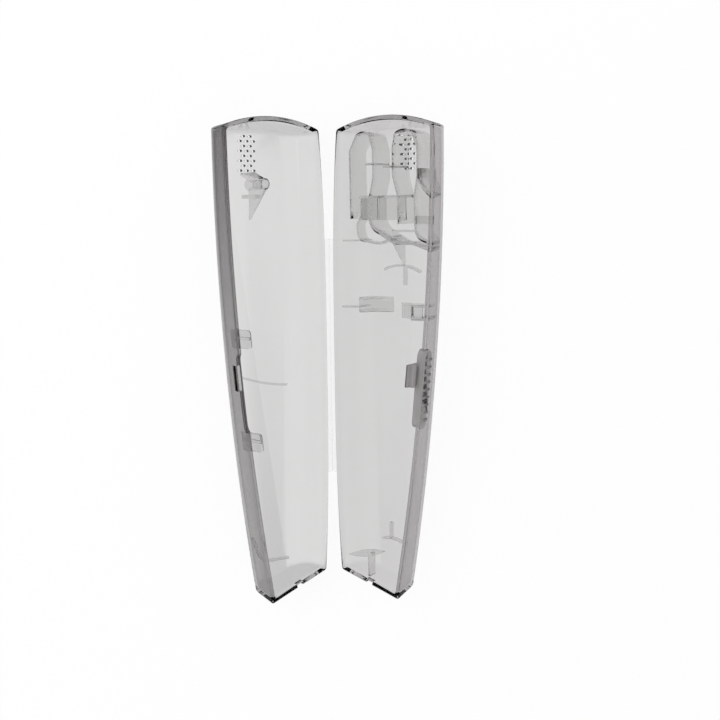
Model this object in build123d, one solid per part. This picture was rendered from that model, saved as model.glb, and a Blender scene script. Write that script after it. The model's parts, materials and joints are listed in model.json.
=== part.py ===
from build123d import *
import os
from math import atan, degrees

# Travel case for an electric toothbrush, open like a book and lying on its spine.
#
# Each half is built in its own tray frame, in millimetres:
#   X runs from the hinge axis to the outer edge, Y from the foot to the top end,
#   Z is zero at the parting plane and negative towards the back of the tray.
# The lid is the mirror image of the base across the hinge axis. At the end both halves
# are turned to the open angle and set down so that the spine rests on Z = 0.

# ---------------------------------------------------------------- driving dimensions

# trays
tray_depth = 18.0            # parting plane to the outside of the back
wall = 1.6                   # thickness of every tray wall
parting_gap = 0.3            # between the two rims when the case is shut
rim_width = 2.3              # the rim is thicker than the wall below it
rim_height = 2.0

hinge_corner_top_y = 206.8   # where the hinge side meets the top arch
hinge_corner_bottom_y = 0.0
hinge_edge_gap = 1.8         # hinge axis to the nearest point of the rim
hinge_edge_relief = 3.2      # how much further away the rim ends are
hinge_edge_middle_y = 100.0
hinge_back_x = 5.0           # the spine edge of the back is straight

outer_top_x = 59.3           # outer edge of the rim at the top corner
outer_bottom_x = 36.3
outer_bottom_y = -7.6
outer_bulge = 4.6            # the outer edge bows out from the straight line
outer_lean_bottom = 1.2      # the outer wall leans in by this at the back, at the foot
outer_lean_top = 4.4         # and by this at the top end

arch_rise = 5.3              # the rim's top arch over its corners
back_arch_rise = 0.8         # the same at the back, where the end is nearly straight
back_top_y = 206.3
back_bottom_hinge_y = -1.5
back_bottom_outer_y = -5.2

hinge_round = 10.0           # outside radius between hinge wall and back
outer_round = 7.0            # outside radius between outer wall and back
end_round = 1.3              # outside radius between end walls and back

notch_x = 20.0               # small finger notch in the bottom rim
notch_width = 3.6
notch_depth = 1.5
notch_height = 2.5

# vents in both backs
vent_x = 34.8                # middle column
vent_top_y = 203.75
vent_length = 1.9
vent_height = 1.1
vent_pitch_x = 3.73
vent_pitch_y = 2.27
vent_rows = 8
lid_vent_counts = (2, 3)     # the rows take turns
base_vent_counts = (3, 2)

# hinge
open_angle = 102.0           # between the two parting planes, as it lies open
strip_bottom_y = 45.5
strip_top_y = 155.5
strip_thickness = 0.6
strip_drop = 0.2             # parting plane to the front face of the strip
fold_radius = 0.45
fold_clearance = 0.1

# latch, on the outer wall of the base
latch_y = 88.9
latch_length = 35.6
latch_width = 5.8
latch_front = 1.6            # how far the button reaches past the parting plane
latch_proud = 0.9            # how far it stands out of the wall
latch_skin = 1.2             # the button is hollow behind
latch_clearance = 0.3        # around the button in its cut-outs
ridge_count = 9
ridge_pitch = 3.4
ridge_width = 1.1
ridge_height = 0.5
flange_thickness = 1.3
flange_length = 30.0
flange_overlap = 1.5         # how far the flange reaches behind the wall
hook_width = 10.0
hook_shift = 6.4             # from the middle of the button towards the top end
hook_reach = 8.0             # past the parting plane
hook_thickness = 1.2
lip_height = 2.4
lip_engagement = 0.7         # into the lid's catch window
catch_bar = 1.5              # bar of lid wall that the lip holds
catch_clearance = 0.35
window_side_clearance = 0.8

# locating tabs on the lid
tab_top_y = (116.8, 70.5)    # upper ends of the two tabs
tab_width = 8.2
tab_reach = 4.5
tab_root = 7.0
tab_thickness = 1.4
tab_clearance = 0.4          # to the base's rim
tab_lean = 0.9               # the tip leans in, to clear the rim as it swings
tab_corner = 1.5
tab_rib_width = 1.0
tab_rib_height = 0.9

# seat in the rim of the base for the lid's peg
seat_y = 194.9
seat_length = 5.4
seat_width = 1.3
seat_depth = 1.4
peg_clearance = 0.4
peg_height = 0.8

# brush-head holders: the inner one is next to the hinge, the outer one next to the latch.
# Their outlines are given for the middle of the wall; pairs are (inner, outer).
holder_edge_depth = 3.0      # free edge below the parting plane
holder_wall = 0.9
holder_body_x = (17.4, 41.6)
holder_body_width = 13.3
holder_neck_x = (16.4, 42.0)
holder_neck_width = (10.9, 9.0)
holder_crown_x = (18.3, 41.1)
holder_crown_width = (7.5, 9.4)
holder_bottom_y = (164.7, 162.2)
holder_neck_y = 175.0        # the neck starts to widen
holder_shoulder_y = 184.0
holder_crown_shoulder_y = 196.5
holder_crown_y = 203.4
holder_peak = 1.5
holder_shoulder_round = 8.0
holder_crown_round = 5.0
nub_y = 166.4                # small block inside each neck
nub_length = 3.0
nub_width = 1.4
nub_height = 3.5

# ribs inside and beside the holders
stiffener_thickness = 0.9
stiffener_slope = 2.5        # the free end is this much deeper than the fixed end
inner_stiffener_y = 189.2
inner_stiffener_length = 6.2
outer_stiffener_y = 187.6
outer_stiffener_length = 7.0
side_rib_y = 187.3           # curved rib from the outer holder to the outer wall
side_rib_drop = 14.2
side_rib_thickness = 1.1
bridge_y = 164.0             # shelf from the outer neck to the outer wall
bridge_length = 3.7
bridge_thickness = 1.2

# walls of the wells that take the sockets of the brush heads
well_edge_depth = 9.4
well_wall = 0.9
neck_rest_y = 174.9          # cross plate that carries both necks
neck_rest_thickness = 1.3
neck_shelf_thickness = 1.0   # shelves between the necks, level with the cross plate
neck_shelf_end_y = 164.0
inner_well_left_x = 9.6
inner_well_top_x = 12.1
inner_well_bottom_y = 152.9
inner_well_round = 4.0
outer_well_corner = (47.0, 156.0)
outer_well_end_y = 152.4
outer_well_round = 6.0
socket_rib_y = 158.8         # low rib on the floor under the outer socket
socket_rib_end_x = 38.2
low_rib_height = 2.4
low_rib_thickness = 1.1

# wall between the brush heads and the handle
divider_thickness = 1.5
divider_corner_y = 161.0
divider_bend = (35.5, 153.6)
divider_flat_end_x = 45.3
divider_end_y = 149.8
divider_round = 7.0
gusset_x = 33.0              # triangular plate that props the wall on the handle's side
divider_gusset_thickness = 1.1
divider_gusset_top_depth = 8.2
divider_gusset_foot_y = 142.3

# thin ribs from the hinge wall, deeper towards their far ends
hinge_rib_thickness = 0.8
hinge_rib_top_depth = 2.0
hinge_rib_y = 153.7
hinge_rib_end_x = 12.6
latch_rib_y = 119.3          # the same from the latch side saddle to the outer wall

# bed ribs under the handle's shoulder
cross_rib_x = (21.8, 41.4)
cross_rib_y = (140.7, 139.8)
cross_rib_middle_y = 142.6
stem_bottom_y = 133.5
rib_thickness = 1.1

# handle saddles
handle_radius = 14.0         # of the toothbrush handle that lies in the case
handle_x = 28.0
handle_depth = 1.2           # handle axis below the parting plane
handle_clearance = 0.3
saddle_y = (124.2, 121.8)    # hinge side, latch side
saddle_width = 7.1
saddle_gap = 5.0             # between the two saddles
saddle_skin = 1.2
saddle_edge_depth = 7.0
saddle_inner_x = 12.0
saddle_outer_x = 47.0

# foot of the handle compartment
foot_shelf_tips = ((5.6, 6.0), (26.0, 11.0))    # thin lens-shaped shelf near the rim
foot_shelf_rise = 1.6        # each side of the line between its tips
foot_shelf_depth = 3.0
foot_shelf_thickness = 1.2
foot_stem_x = 17.8
foot_stem_depth = 8.0
foot_arc_y = 13.7
foot_arc_x = (17.5, 28.5)
foot_arc_drop = 0.9
foot_arc_height = 1.5
foot_bar_x = 22.7
foot_bar_length = 7.6
foot_bar_height = 1.9

# brush-head presser on the lid
presser_x = 33.6
presser_y = 181.4
presser_radius = 2.6
presser_wall = 0.9
presser_edge_depth = 4.0
gusset_bottom_y = 165.1
gusset_thickness = 1.2
wing_run = 5.2
wing_rise = 2.3
wing_thickness = 1.0
wing_edge_depth = 5.0
bar_y = 175.8
bar_half_length = 4.5
bar_thickness = 1.7
bar_edge_depth = 12.6

# thin ribs on the lid
lid_rib_ends = ((40.5, 93.2), (14.5, 86.6))
lid_rib_middle = (27.0, 88.8)
lid_rib_height = 1.2
lid_foot_rib_ends = ((35.0, 18.5), (15.5, 4.8))
lid_foot_rib_corner = (30.0, 6.4)
lid_foot_rib_round = 8.0
lid_foot_rib_height = 1.8

# construction of the lofted trays
end_margin = 7.0             # the lofted body runs past both ends before it is cut
back_margin = 0.1            # and this far past the flat back
section_spans = 8            # sections of the loft along the length

# ---------------------------------------------------------------- derived sizes

rim_z = -parting_gap / 2
back_z = -tray_depth
floor_z = wall - tray_depth
overshoot = 1.0              # cuts run this far past what they cut
outer_middle_y = (hinge_corner_top_y + outer_bottom_y) / 2
outer_half_span = (hinge_corner_top_y - outer_bottom_y) / 2
relief_span = hinge_corner_top_y - hinge_edge_middle_y
crown_y = hinge_corner_top_y + arch_rise
middle_y = (crown_y + outer_bottom_y) / 2
turn = (180 - open_angle) / 2


def hinge_edge(y):
    """X of the rim on the hinge side."""
    return hinge_edge_gap + hinge_edge_relief * abs((y - hinge_edge_middle_y) / relief_span) ** 3


def outer_edge(y):
    """X of the rim on the outer side: a straight slant with a shallow bow."""
    across = (y - outer_middle_y) / outer_half_span
    straight = outer_bottom_x + (outer_top_x - outer_bottom_x) * (across + 1) / 2
    return straight + outer_bulge * (1 - across**2)


def outer_lean(y):
    """How far the outer wall leans in at the back."""
    along = (y - outer_bottom_y) / (hinge_corner_top_y - outer_bottom_y)
    return outer_lean_bottom + (outer_lean_top - outer_lean_bottom) * along


def outer_slope(y):
    """Change of outer_edge for each millimetre of y."""
    across = (y - outer_middle_y) / outer_half_span
    return ((outer_top_x - outer_bottom_x) / 2 - 2 * outer_bulge * across) / outer_half_span


def on_outer_wall(y):
    """Place on the outer edge with its X pointing out of the case and its Y along the wall."""
    return Pos(outer_edge(y), y, 0) * Rot(0, 0, -degrees(atan(outer_slope(y))))


# ---------------------------------------------------------------- tray forms


def cross_section(y, inset, open_z):
    """One section across a tray, rounded where its walls meet the back."""
    depth = tray_depth - inset + back_margin
    corners = [
        (hinge_edge(y) + inset, open_z),
        (hinge_back_x + inset, -depth),
        (outer_edge(y) - outer_lean(y) - inset, -depth),
        (outer_edge(y) - inset, open_z),
    ]
    section = Face(Wire([Line(a, b) for a, b in zip(corners, corners[1:] + corners[:1])]))
    for corner, radius in ((corners[1], hinge_round), (corners[2], outer_round)):
        vertex = section.vertices().sort_by_distance((*corner, 0))[0]
        section = section.fillet_2d(radius - inset, [vertex])
    return Plane(origin=(0, y, 0), x_dir=(1, 0, 0), z_dir=(0, -1, 0)) * section


def end_outline(top_y, rise, hinge_y, outer_y, inset, z):
    """Plan outline that sets only the two ends; its sides lie outside the tray."""
    left, right = -tray_depth, outer_top_x + tray_depth
    slope = (outer_y - hinge_y) / (outer_bottom_x - hinge_edge(hinge_corner_bottom_y))
    bottom_left, bottom_right = (
        (x, hinge_y + slope * (x - hinge_edge(hinge_corner_bottom_y)) + inset) for x in (left, right)
    )
    half_chord = (outer_top_x - hinge_edge(hinge_corner_top_y)) / 2
    arch_x = outer_top_x - half_chord
    radius = (half_chord**2 + rise**2) / (2 * rise)
    top = top_y + rise - inset

    def on_arch(x):
        return (x, top - radius + (radius**2 - (x - arch_x) ** 2) ** 0.5)

    outline = [
        Line(bottom_left, bottom_right),
        Line(bottom_right, on_arch(right)),
        ThreePointArc(on_arch(right), (arch_x, top), on_arch(left)),
        Line(on_arch(left), bottom_left),
    ]
    return Pos(0, 0, z) * Face(Wire(outline))


def tray_form(inset, open_z):
    """Solid shape of a tray, smaller all round by inset and open at open_z.

    It runs a little past the flat of the back, which is cut afterwards."""
    low_y, high_y = outer_bottom_y - end_margin, crown_y + end_margin
    stations = [low_y + (high_y - low_y) * i / section_spans for i in range(section_spans + 1)]
    body = loft([cross_section(y, inset, open_z) for y in stations])
    rim_ends = end_outline(hinge_corner_top_y, arch_rise, hinge_corner_bottom_y,
                           outer_bottom_y, inset, 0)
    back_ends = end_outline(back_top_y, back_arch_rise, back_bottom_hinge_y,
                            back_bottom_outer_y, inset, back_z - back_margin)
    ends = loft([back_ends, rim_ends], ruled=True)
    if open_z > 0:
        ends += extrude(rim_ends, 2 * open_z)
    return body & ends


def slab(low_z, high_z):
    """Everything between two heights."""
    size = 2 * (crown_y - outer_bottom_y)
    return Pos(0, middle_y, (low_z + high_z) / 2) * Box(size, size, high_z - low_z)


def round_ends(form):
    """Rounds the edges where the end walls meet the sides and the back."""
    faces = form.faces().sort_by(Axis.Y)
    edges = [e for face in (faces[0], faces[-1]) for e in face.edges() if e.center().Z < rim_z - overshoot]
    return fillet(edges, end_round)


pocket = tray_form(wall, overshoot) & slab(floor_z, -rim_height)
mouth = tray_form(rim_width, overshoot) & slab(-rim_height, overshoot)
hollow = pocket + mouth


def standing(face, low_z, high_z):
    """A plan face raised between two heights, cut to the inside of the tray."""
    prism = extrude(Pos(0, 0, low_z) * face, high_z - low_z)
    return prism & hollow


def wall_along(curve, thickness):
    """Plan face of a thin wall that follows a curve."""
    return trace(curve, thickness)


def vent_cuts(counts):
    """Rows of short slots through the back, with the numbers of slots taking turns."""
    slot = extrude(Pos(0, 0, back_z - overshoot) * SlotOverall(vent_length, vent_height),
                   wall + 2 * overshoot)
    cuts = []
    for row in range(vent_rows):
        count = counts[row % 2]
        y = vent_top_y - row * vent_pitch_y
        cuts += [Pos(vent_x + (i - (count - 1) / 2) * vent_pitch_x, y, 0) * slot for i in range(count)]
    return cuts


def notch_cut():
    """Finger notch in the slanted bottom rim."""
    slope = outer_bottom_y / (outer_bottom_x - hinge_edge(hinge_corner_bottom_y))
    y = slope * (notch_x - hinge_edge(hinge_corner_bottom_y))
    block = Box(notch_width, 2 * notch_depth, 2 * notch_height)
    return Pos(notch_x, y, 0) * Rot(0, 0, degrees(atan(slope))) * block


def tray_shell(vent_counts):
    """A tray with its rim, vents and notch."""
    shell = (round_ends(tray_form(0, rim_z)) & slab(back_z, 0)) - hollow
    for cut in (*vent_cuts(vent_counts), notch_cut()):
        shell -= cut
    return shell


# ---------------------------------------------------------------- latch sizes

# The outside of the button is a slot shape on the wall, half hidden by the parting plane.
# A tall tongue on the base stands back from the lid's rim by the height of the rim's arc.
latch_middle_z = latch_front - latch_width / 2
swing_allowance = hook_reach**2 / (2 * outer_edge(latch_y))
hook_face = -(rim_width + catch_clearance + swing_allowance)
recess_depth = latch_front + latch_clearance
window_front = recess_depth + catch_bar
window_height = lip_height + 2 * catch_clearance
lip_bottom = window_front + catch_clearance
wall_face_at_lip = -(wall + outer_lean(latch_y) * (lip_bottom + lip_height / 2) / tray_depth)


def on_wall_face(outline, low_x, high_x):
    """Raises an outline drawn on the outer wall (X along it, Y up) between two depths."""
    return extrude(Plane(origin=(low_x, 0, 0), x_dir=(0, 1, 0), z_dir=(1, 0, 0)) * outline,
                   high_x - low_x)


def latch_cut(middle_z):
    """Cut-out in an outer wall around the button."""
    outline = SlotOverall(latch_length + 2 * latch_clearance, latch_width + 2 * latch_clearance)
    reach = outer_round
    return on_outer_wall(latch_y) * on_wall_face(Pos(0, middle_z) * outline, -reach, reach)


def latch_outline(inset):
    """Slot shape of the button, smaller all round by inset."""
    return Pos(0, latch_middle_z) * SlotOverall(latch_length - 2 * inset, latch_width - 2 * inset)


def latch_button():
    """Ribbed push button, hollow behind, with the flange that holds it behind the wall."""
    cap = on_wall_face(latch_outline(0), hook_face, latch_proud)
    cap = fillet(cap.faces().sort_by(Axis.X)[-1].edges(), ridge_height)
    ridge_outline = Rectangle(ridge_width, latch_width - ridge_width)
    for i in range(ridge_count):
        along = (i - (ridge_count - 1) / 2) * ridge_pitch
        ridge = on_wall_face(Pos(along, latch_middle_z) * ridge_outline,
                             latch_proud - ridge_height, latch_proud + ridge_height)
        cap += ridge
    flange_top = rim_z - latch_clearance
    flange_bottom = latch_front - latch_width - flange_overlap
    flange_outline = Rectangle(flange_length, flange_top - flange_bottom)
    flange = on_wall_face(Pos(0, (flange_top + flange_bottom) / 2) * flange_outline,
                          hook_face - flange_thickness, hook_face)
    bridge = Pos(hook_shift, latch_middle_z) * Rectangle(hook_width, latch_width)
    space = on_wall_face(latch_outline(latch_skin) - bridge,
                         hook_face - flange_thickness - overshoot, latch_proud - latch_skin)
    return on_outer_wall(latch_y) * (cap + flange - space)


def latch_hook():
    """Tongue that stands on the flange and carries the lip past the parting plane."""
    root = rim_z - latch_clearance
    tongue_outline = Pos(hook_shift, (root + hook_reach) / 2) * Rectangle(hook_width, hook_reach - root)
    tongue = on_wall_face(tongue_outline, hook_face - hook_thickness, hook_face)
    lip_outline = Pos(hook_shift, lip_bottom + lip_height / 2) * Rectangle(hook_width, lip_height)
    lip = on_wall_face(lip_outline, hook_face, wall_face_at_lip + lip_engagement)
    cap = on_wall_face(latch_outline(0), hook_face, latch_proud)
    return on_outer_wall(latch_y) * (tongue + lip - cap)


def catch_window():
    """Window in the lid's outer wall that the lip snaps into."""
    outline = Rectangle(hook_width + 2 * window_side_clearance, window_height)
    middle_z = -(window_front + window_height / 2)
    return on_outer_wall(latch_y) * on_wall_face(Pos(hook_shift, middle_z) * outline,
                                                 -rim_width - overshoot, overshoot)


# ---------------------------------------------------------------- base pieces


def base_shell():
    """Tray with the cut-out for the latch button and the seat for the lid's peg."""
    seat = Box(seat_width, seat_length, 2 * seat_depth)
    seat_place = on_outer_wall(seat_y) * Pos(-rim_width / 2, 0, 0)
    return tray_shell(base_vent_counts) - latch_cut(latch_middle_z) - seat_place * seat


def largest(pieces):
    """The largest of the separate solids that a cut has left."""
    return pieces.solids().sort_by(SortBy.VOLUME)[-1]


def holder_outline(which):
    """Bottle-shaped plan outline through the middle of a holder's wall."""
    body_x, neck_x, crown_x = holder_body_x[which], holder_neck_x[which], holder_crown_x[which]
    body, neck, crown = (
        width / 2 for width in (holder_body_width, holder_neck_width[which], holder_crown_width[which])
    )
    foot_y = holder_bottom_y[which] - holder_wall

    def side(sign):
        return [
            (neck_x + sign * neck, foot_y), (neck_x + sign * neck, holder_neck_y),
            (body_x + sign * body, holder_shoulder_y), (body_x + sign * body, holder_crown_shoulder_y),
            (crown_x + sign * crown, holder_crown_y),
        ]

    right, left = side(1), side(-1)
    sides = [Line(a, b) for points in (right, left) for a, b in zip(points, points[1:])]
    top = ThreePointArc(right[-1], (crown_x, holder_crown_y + holder_peak), left[-1])
    outline = Face(Wire([*sides, top, Line(left[0], right[0])]))
    for row, radius in ((1, holder_shoulder_round), (2, holder_shoulder_round),
                        (3, holder_crown_round), (4, holder_peak)):
        for corner in (right[row], left[row]):
            vertex = outline.vertices().sort_by_distance((*corner, 0))[0]
            outline = outline.fillet_2d(radius, [vertex])
    return outline


def holder_ring(which):
    """Plan of a holder's wall, open at the foot of its neck."""
    outline = holder_outline(which)
    ring = offset(outline, holder_wall / 2) - offset(outline, -holder_wall / 2)
    bottom_y, width = holder_bottom_y[which], 2 * holder_body_width
    ring -= Pos(holder_neck_x[which], bottom_y - holder_wall) * Rectangle(width, 2 * holder_wall)
    if which == 0:
        # the wall to the handle's compartment goes on from here
        height = holder_neck_y - bottom_y + holder_wall
        ring -= Pos(holder_neck_x[0] + width / 2, holder_neck_y - height / 2) * Rectangle(width, height)
    return ring


def holder_side(which, sign):
    """X of the middle of a holder's body wall, on its inner (-1) or outer (+1) side."""
    return holder_body_x[which] + sign * holder_body_width / 2


def neck_side(which, sign):
    """The same for the neck."""
    return holder_neck_x[which] + sign * holder_neck_width[which] / 2


def sloping_plate(y, thickness, start, end):
    """Upright plate across the tray from the floor up to a straight slope.

    start and end are (x, depth below the parting plane)."""
    side = Face(Wire(Polyline(
        (start[0], back_z), (start[0], -start[1]), (end[0], -end[1]), (end[0], back_z), close=True,
    ).edges()))
    plate = extrude(Plane(origin=(0, y + thickness / 2, 0), x_dir=(1, 0, 0), z_dir=(0, -1, 0)) * side,
                    thickness)
    return plate & hollow


def brush_head_holder(which):
    """Bottle-shaped wall with a nub in its neck."""
    holder = standing(holder_ring(which), back_z, -holder_edge_depth)
    nub = Pos(neck_side(which, -1) + nub_width / 2, nub_y) * Rectangle(nub_width, nub_length)
    return holder + standing(nub, -holder_edge_depth - nub_height, -holder_edge_depth)


def stiffener(which):
    """Thin plate against one side of a holder's body, lower at its free end."""
    if which == 0:
        fixed_x, y = holder_side(0, 1), inner_stiffener_y
        free_x = fixed_x - inner_stiffener_length
    else:
        fixed_x, y = holder_side(1, -1), outer_stiffener_y
        free_x = fixed_x - outer_stiffener_length
    return sloping_plate(y, stiffener_thickness, (free_x, holder_edge_depth + stiffener_slope),
                         (fixed_x, holder_edge_depth))


def side_rib():
    """Curved rib from the outer holder to the outer wall."""
    start_x, end_y = holder_side(1, 1), side_rib_y - side_rib_drop
    end_x = outer_edge(end_y)
    bend = (start_x + (end_x - start_x) / 4, side_rib_y - 0.6 * side_rib_drop)
    curve = ThreePointArc((start_x, side_rib_y), bend, (end_x, end_y))
    return standing(wall_along(curve, side_rib_thickness), back_z, -holder_edge_depth)


def neck_bridge():
    """Thin shelf from the outer holder's neck to the outer wall."""
    start_x, end_x = neck_side(1, 1), outer_edge(bridge_y)
    plan = Pos((start_x + end_x) / 2, bridge_y) * Rectangle(end_x - start_x, bridge_length)
    return standing(plan, -holder_edge_depth - bridge_thickness, -holder_edge_depth)


def divider_wall():
    """Curved wall between the brush heads and the handle."""
    path = FilletPolyline(
        (neck_side(0, 1), holder_neck_y), (neck_side(0, 1), divider_corner_y), divider_bend,
        (divider_flat_end_x, divider_bend[1]), (outer_edge(divider_end_y), divider_end_y),
        radius=divider_round,
    )
    return standing(wall_along(path, divider_thickness), back_z, -holder_edge_depth)


def inner_well_wall():
    """Low bulging wall around the socket of the inner brush head."""
    path = FilletPolyline(
        (inner_well_top_x, neck_rest_y - neck_rest_thickness / 2),
        (inner_well_top_x, holder_bottom_y[0] + well_wall),
        (inner_well_left_x, (divider_corner_y + holder_bottom_y[0]) / 2 - well_wall),
        (inner_well_left_x + well_wall, inner_well_bottom_y + 2 * well_wall),
        (holder_neck_x[0] + holder_neck_width[0] / 2, inner_well_bottom_y),
        (divider_bend[0], divider_bend[1] + inner_well_round),
        radius=inner_well_round,
    )
    return standing(wall_along(path, well_wall), back_z, -well_edge_depth)


def outer_well_wall():
    """Wall from the outer holder's neck round to the outer wall."""
    path = FilletPolyline(
        (neck_side(1, 1), holder_bottom_y[1]), outer_well_corner,
        (outer_edge(outer_well_end_y), outer_well_end_y), radius=outer_well_round,
    )
    return standing(wall_along(path, well_wall), back_z, -holder_edge_depth)


def neck_rest(low_x, high_x):
    """Cross plate under the necks, between two places."""
    plan = Pos((low_x + high_x) / 2, neck_rest_y) * Rectangle(high_x - low_x, neck_rest_thickness)
    return standing(plan, back_z, -well_edge_depth)


def neck_shelf(low_x, high_x):
    """Thin shelf behind the cross plate, between two places."""
    high_y = neck_rest_y - neck_rest_thickness / 2
    plan = Pos((low_x + high_x) / 2, (neck_shelf_end_y + high_y) / 2) * Rectangle(
        high_x - low_x, high_y - neck_shelf_end_y)
    return standing(plan, -well_edge_depth - neck_shelf_thickness, -well_edge_depth)


def socket_rib():
    """Low rib on the floor under the outer socket."""
    line = Line((neck_side(0, 1), socket_rib_y), (socket_rib_end_x, socket_rib_y))
    return standing(wall_along(line, low_rib_thickness), back_z, floor_z + low_rib_height)


def divider_gusset():
    """Triangular plate that props the wall to the handle's compartment."""
    side = Face(Wire(Polyline(
        (divider_gusset_foot_y, back_z), (divider_gusset_foot_y, floor_z),
        (divider_corner_y, -divider_gusset_top_depth + (divider_corner_y - divider_bend[1])),
        (divider_corner_y, back_z), close=True,
    ).edges()))
    origin = (gusset_x - divider_gusset_thickness / 2, 0, 0)
    plate = extrude(Plane(origin=origin, x_dir=(0, 1, 0), z_dir=(1, 0, 0)) * side,
                    divider_gusset_thickness)
    return plate & hollow


def bed_ribs():
    """Low cross rib and stem on the floor under the handle's shoulder."""
    left, right = zip(cross_rib_x, cross_rib_y)
    cross = ThreePointArc(left, (gusset_x, cross_rib_middle_y), right)
    stem = Line((gusset_x, cross_rib_middle_y), (gusset_x, stem_bottom_y))
    plan = wall_along(cross, low_rib_thickness) + wall_along(stem, low_rib_thickness)
    return standing(plan, back_z, floor_z + low_rib_height)


def handle_saddle(y, low_x, high_x, open_side):
    """Short curved seat for the handle: a skin over two side plates, open at one end."""
    width = high_x - low_x
    middle_x = (low_x + high_x) / 2

    def form(skin, radius, length, shift):
        plan = Pos(middle_x + shift, y) * Rectangle(length, saddle_width - 2 * skin)
        block = extrude(Pos(0, 0, back_z) * plan, tray_depth - saddle_edge_depth - skin)
        handle = Pos(handle_x, y, -handle_depth) * Rot(90, 0, 0) * Cylinder(radius, 2 * saddle_width)
        return block - handle

    seat_radius = handle_radius + handle_clearance
    outside = form(0, seat_radius, width, 0) & hollow
    inside = form(saddle_skin, seat_radius + saddle_skin, width, open_side * saddle_skin)
    return outside - inside


def foot_shelf():
    """Thin lens-shaped shelf near the rim that the end of the handle meets, on a stem."""
    (left_x, left_y), (right_x, right_y) = foot_shelf_tips
    middle = ((left_x + right_x) / 2, (left_y + right_y) / 2)
    upper = ThreePointArc(foot_shelf_tips[0], (middle[0], middle[1] + foot_shelf_rise), foot_shelf_tips[1])
    lower = ThreePointArc(foot_shelf_tips[1], (middle[0], middle[1] - foot_shelf_rise), foot_shelf_tips[0])
    lens = Face(Wire([upper, lower]))
    shelf = standing(lens, -foot_shelf_depth - foot_shelf_thickness, -foot_shelf_depth)
    stem = wall_along(Line((foot_stem_x, outer_bottom_y), (foot_stem_x, middle[1])), rib_thickness)
    return shelf + standing(stem, -foot_stem_depth, -foot_shelf_depth - foot_shelf_thickness / 2)


def foot_floor_ribs():
    """Low curved rib and the bar that runs up the floor from it."""
    left, right = foot_arc_x
    arc_curve = ThreePointArc((left, foot_arc_y - foot_arc_drop), ((left + right) / 2, foot_arc_y),
                              (right, foot_arc_y - foot_arc_drop))
    arc = standing(wall_along(arc_curve, rib_thickness), back_z, floor_z + foot_arc_height)
    bar_line = Line((foot_bar_x, foot_arc_y), (foot_bar_x, foot_arc_y + foot_bar_length))
    bar = standing(wall_along(bar_line, rib_thickness), back_z, floor_z + foot_bar_height)
    return arc, bar - arc


def base_pieces():
    holders = [brush_head_holder(which) for which in (0, 1)]
    divider = divider_wall()
    well = largest(inner_well_wall() - holders[0] - divider)
    outer_well = largest(outer_well_wall() - holders[1] - divider)
    walls = holders[0] + holders[1] + divider
    inner_rest = neck_rest(neck_side(0, -1), neck_side(0, 1)) - walls - well
    outer_rest = neck_rest(neck_side(0, 1), neck_side(1, -1)) - walls
    inner_shelf = neck_shelf(inner_well_top_x, neck_side(0, 1)) - walls - well
    outer_shelf = neck_shelf(neck_side(0, 1), neck_side(1, -1)) - walls
    hinge_rib = sloping_plate(hinge_rib_y, hinge_rib_thickness, (0, hinge_rib_top_depth),
                              (hinge_rib_end_x + well_wall, well_edge_depth))
    saddles = [
        handle_saddle(saddle_y[0], saddle_inner_x, handle_x - saddle_gap / 2, -1),
        handle_saddle(saddle_y[1], handle_x + saddle_gap / 2, saddle_outer_x, 1),
    ]
    saddle_rib = sloping_plate(saddle_y[0] - saddle_width / 4, hinge_rib_thickness,
                               (0, hinge_rib_top_depth), (saddle_inner_x, saddle_edge_depth))
    latch_rib = sloping_plate(latch_rib_y, hinge_rib_thickness, (saddle_outer_x, saddle_edge_depth),
                              (outer_edge(latch_rib_y), saddle_edge_depth))
    foot_arc, foot_bar = foot_floor_ribs()
    return {
        "base_shell": base_shell(),
        "brush_head_holder_inner": holders[0],
        "brush_head_holder_outer": holders[1],
        "holder_stiffener_inner": largest(stiffener(0) - holders[0]),
        "holder_stiffener_outer": largest(stiffener(1) - walls),
        "holder_side_rib": largest(side_rib() - holders[1]),
        "neck_bridge": largest(neck_bridge() - holders[1] - outer_well),
        "neck_rest_inner": largest(inner_rest),
        "neck_rest_outer": largest(outer_rest),
        "neck_shelf_inner": largest(inner_shelf),
        "neck_shelf_outer": largest(outer_shelf),
        "inner_well_wall": well,
        "outer_well_wall": outer_well,
        "well_side_rib": hinge_rib.cut(well).solids().sort_by(Axis.X)[0],
        "socket_rib": largest(socket_rib() - divider - well - holders[1]),
        "compartment_wall": divider,
        "compartment_gusset": (divider_gusset() - divider).solids().sort_by(Axis.Y)[0],
        "handle_bed_ribs": bed_ribs() - divider_gusset(),
        "handle_saddle_hinge_side": saddles[0],
        "handle_saddle_latch_side": saddles[1],
        "saddle_rib_hinge_side": largest(saddle_rib - saddles[0]),
        "saddle_rib_latch_side": largest(latch_rib - saddles[1]),
        "foot_shelf": foot_shelf(),
        "foot_arc_rib": foot_arc,
        "foot_bar_rib": largest(foot_bar),
        "hinge_strip_base_leaf": strip_leaf(fold_radius),
        "hinge_fold": hinge_fold(),
    }


# ---------------------------------------------------------------- hinge strip


def strip_leaf(clear_radius):
    """One half of the hinge strip, from the fold to the rim it is joined to."""
    length = strip_top_y - strip_bottom_y
    plan = Pos(hinge_back_x / 2, (strip_top_y + strip_bottom_y) / 2) * Rectangle(hinge_back_x, length)
    leaf = extrude(Pos(0, 0, -strip_drop - strip_thickness) * plan, strip_thickness)
    fold = Pos(0, middle_y, 0) * Rot(90, 0, 0) * Cylinder(clear_radius, 2 * length)
    return leaf - fold - tray_form(0, rim_z)


def hinge_fold():
    """The thin line that the strip folds along, on the hinge axis."""
    length = strip_top_y - strip_bottom_y
    return Pos(0, (strip_top_y + strip_bottom_y) / 2, 0) * Rot(90, 0, 0) * Cylinder(fold_radius, length)


# ---------------------------------------------------------------- lid pieces


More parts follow.
